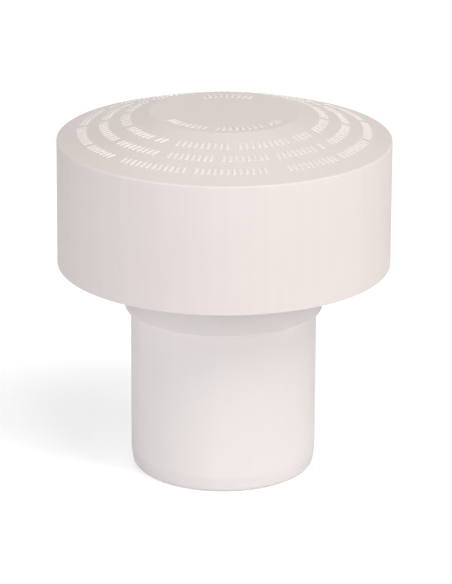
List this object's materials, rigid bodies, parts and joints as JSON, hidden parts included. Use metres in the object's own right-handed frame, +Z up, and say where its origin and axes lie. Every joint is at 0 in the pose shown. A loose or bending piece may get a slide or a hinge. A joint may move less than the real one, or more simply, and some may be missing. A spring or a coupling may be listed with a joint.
{
  "type": "air admittance valve",
  "caption": "White plastic air admittance valve: a low hood with a conical crown over an annular air inlet, a gravity-closed ring valve inside, and a plain pipe spigot with a stop collar.",
  "frame": {"origin": "centre of the spigot's lower end", "axes": "+Z up along the valve's axis, from the spigot to the cap; +X to the right and +Y to the back as the picture shows it"},
  "size_m": [0.1076, 0.1076, 0.1187],
  "materials": {
    "body_pvc": "satin white moulded PVC",
    "cap_pvc": "satin warm white moulded PVC",
    "disc_plastic": "matte natural white plastic",
    "screen_plastic": "matte grey plastic grille",
    "rubber": "matte black rubber"
  },
  "bodies": {
    "housing": {"body": "body_pvc", "insect_screen": "screen_plastic", "cap_seal": "rubber", "cap": "cap_pvc"},
    "valve": {"valve_disc": "disc_plastic", "membrane": "rubber"}
  },
  "joints": [
    {"name": "valve_lift", "type": "slide", "parent": "housing", "child": "valve", "axis": [0, 0, 1], "range_m": [0, 0.009]}
  ]
}
